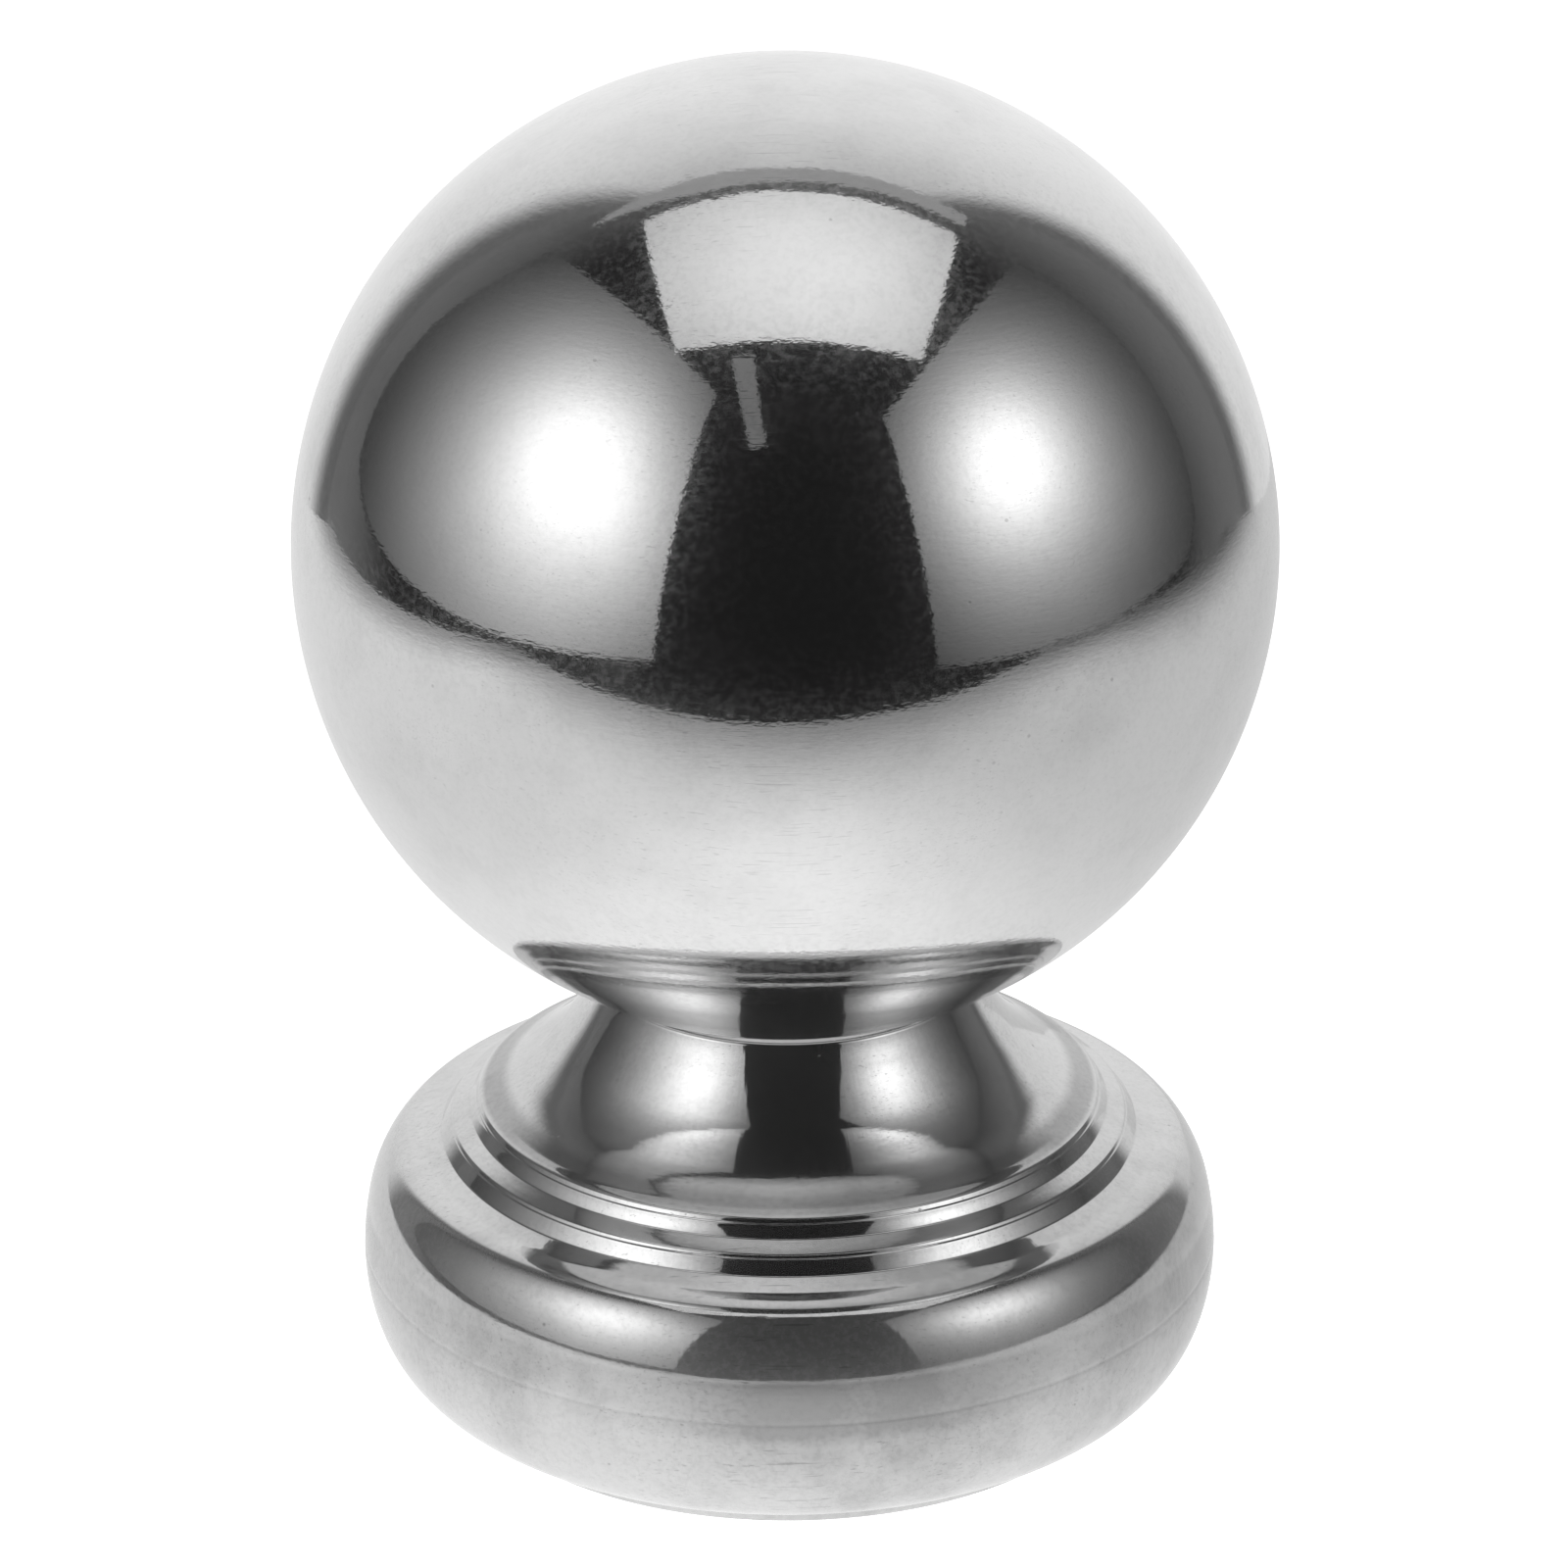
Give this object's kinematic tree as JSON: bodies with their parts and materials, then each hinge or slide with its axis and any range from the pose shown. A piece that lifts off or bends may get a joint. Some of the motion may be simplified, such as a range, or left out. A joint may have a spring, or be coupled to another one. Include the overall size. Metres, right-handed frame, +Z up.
{
  "type": "handrail ball finial",
  "caption": "Round polished-metal ball finial on a stepped, flared round base with an open underside that caps the end of a handrail or newel post.",
  "frame": {"origin": "centre of the base's underside, in the plane of its rim", "axes": "+Z up along the axis of the turned shape, from the rim through the neck to the top of the ball"},
  "size_m": [0.1, 0.1, 0.142],
  "materials": {
    "base_steel": "mirror-polished stainless steel",
    "ball_steel": "mirror-polished stainless steel"
  },
  "bodies": {
    "root": {"base": "base_steel", "ball": "ball_steel"}
  },
  "joints": []
}
